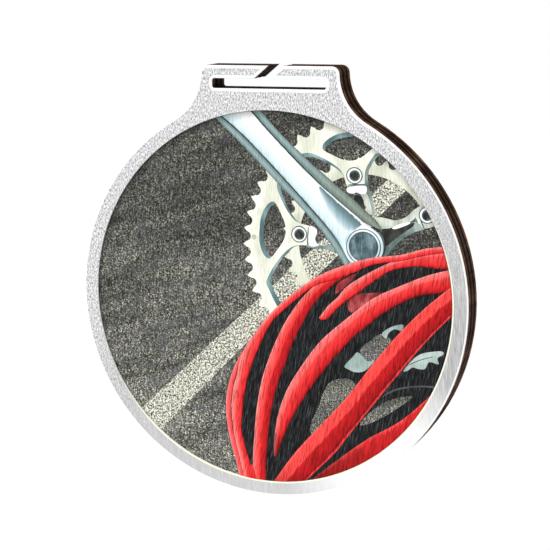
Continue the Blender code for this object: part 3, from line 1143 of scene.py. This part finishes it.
def right_ribs():
    """The broad fifth rib, the fork at its foot and the last rib, half lost under the border."""
    deep_rib = rib_look("deep_rib", [
        (0.0, (255, 104, 98)), (0.08, (255, 76, 72)), (0.38, (255, 74, 70)), (0.45, (196, 26, 30)),
        (0.84, (172, 17, 23)), (0.91, (126, 10, 16)), (0.95, (226, 52, 54)), (1.0, (232, 70, 70)),
    ], 0.8, 0.035, 0.12)
    strip(
        "fifth_rib",
        [(-1, -37), (1, -34), (5, -28.5), (10, -22.9), (15, -17.3), (20, -10.7), (25, -4.7), (30, 0.35),
         (36, 5.4)],
        [(4, -37), (7.3, -33.5), (12.5, -28.2), (15, -24.9), (20, -18.4), (24, -13.3), (28.9, -7.2),
         (33, -2.7), (37, 1.2)],
        DEEP_RIB_LEVEL, deep_rib, LONG_ROWS, 8,
    )
    plates("rib_fork", [
        blob([(-5.6, -37), (-4.9, -34.6), (-4.35, -32.6), (-3.8, -31.6), (-3.3, -32.6), (-2.6, -35),
              (-2.4, -37)]),
    ], FORK_LEVEL, ink("fork_red", [(214, 34, 38), (244, 56, 56)], 600.0, GRAIN_DEEP, GRAIN_LEAN))
    last_rib = rib_look("last_rib", [
        (0.0, (242, 82, 80)), (0.06, (214, 38, 40)), (0.3, (190, 24, 28)), (0.7, (164, 17, 23)),
        (1.0, (134, 13, 19)),
    ], 0.8, 0.05, 0.4)
    strip(
        "last_rib",
        [(8, -33.6), (14, -28.6), (19.2, -24.7), (25, -21.1), (30.4, -16.1), (34, -11.5)],
        [(12, -38), (20, -36), (28, -31), (33, -26), (37, -20), (39, -14)],
        LOW_RIB_LEVEL, last_rib,
    )


def helmet():
    rib = rib_look("rib", [
        (0.0, (250, 164, 162)), (0.06, (255, 130, 126)), (0.30, (255, 112, 108)), (0.40, (254, 76, 75)),
        (0.80, (234, 46, 49)), (0.93, (196, 28, 33)), (1.0, (90, 12, 16)),
    ])
    helmet_shell()
    seen_through_helmet()
    left_ribs(rib)
    middle_ribs(rib)
    right_ribs()


# -------- picture: all of it

def road_line():
    outline = [(-36, -31.8), (-36, -40.6), (-5.5, -9.5), (30, 24.8), (30, 29.5), (-5, -2.8)]
    plates("road_line", [[outline]], ROAD_LEVEL, road_paint_look())


def asphalt_sheet(radius):
    """The round sheet that all the other shapes of the picture stand on."""
    mesh = round_solid(radius, BORDER_HIGH.y, PICTURE_FRONT)
    sheet = piece_from(mesh, "print_asphalt_sheet", [asphalt_look("print_asphalt")])
    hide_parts("picture_disc")


def picture(window_radius):
    asphalt_sheet(window_radius - SHEET_GAP)
    cutter = window_cutter(window_radius - INK_GAP)
    shadow = ink("shadow", [(40, 40, 38), (54, 54, 51), (68, 68, 64)], 900.0, 0.2)
    bright = ink("bright", [(236, 242, 242), (252, 253, 253)], 300.0, 0.10)
    road_line()
    small_chainring()
    big_chainring()
    spider(shadow, bright)
    bolts(shadow, bright)
    crank_sides()
    crank_body()
    crank_boss()
    crank_lines(shadow, bright)
    helmet()
    bpy.data.objects.remove(cutter)


# -------- stage

def camera():
    away = Vector((
        math.sin(CAMERA_AZIMUTH) * math.cos(CAMERA_ELEVATION),
        -math.cos(CAMERA_AZIMUTH) * math.cos(CAMERA_ELEVATION),
        math.sin(CAMERA_ELEVATION),
    ))
    right = Vector((0.0, 0.0, 1.0)).cross(away).normalized()
    up = away.cross(right)
    basis = Matrix((right, up, away)).transposed() @ Matrix.Rotation(CAMERA_ROLL, 3, "Z")
    data = bpy.data.cameras.new("camera")
    data.lens = CAMERA_LENS
    data.clip_start = 0.01
    data.clip_end = 100.0
    made = linked("camera", data)
    made.matrix_world = Matrix.Translation(CAMERA_AIM + away * CAMERA_DISTANCE) @ basis.to_4x4()
    bpy.context.scene.camera = made


def area_light(name, place, aim, size, power):
    data = bpy.data.lights.new(name, "AREA")
    data.shape = "DISK"
    data.size = size
    data.energy = power
    light = linked(name, data)
    light.location = place
    light.rotation_euler = (Vector(aim) - Vector(place)).to_track_quat("-Z", "Y").to_euler()


def stage():
    scene = bpy.context.scene
    scene.view_settings.view_transform = "Standard"
    world = bpy.data.worlds.new("studio")
    world.use_nodes = True
    backdrop = world.node_tree.nodes["Background"]
    backdrop.inputs["Color"].default_value = (1.0, 1.0, 1.0, 1.0)
    backdrop.inputs["Strength"].default_value = WORLD_STRENGTH
    scene.world = world

    mesh = bmesh.new()
    bmesh.ops.create_grid(mesh, x_segments=4, y_segments=4, size=FLOOR_SIZE)
    floor = mesh_object("floor", mesh)
    floor.location.z = BORDER_LOW.z - FLOOR_DROP
    look = Look("floor_white")
    look.set(Base_Color=srgb(252, 252, 252), Roughness=0.9)
    floor.data.materials.append(look.material)

    sun = bpy.data.lights.new("key_light", "SUN")
    sun.energy = SUN_STRENGTH
    sun.angle = SUN_WIDTH
    key = linked("key_light", sun)
    key.rotation_euler = Vector(KEY_DIRECTION).to_track_quat("Z", "Y").to_euler()
    area_light("low_fill", FILL_PLACE, (0.0, 0.0, CENTRE_Z), FILL_SIZE, FILL_POWER)


camera()
board()
picture(border())
stage()
bpy.context.view_layer.update()
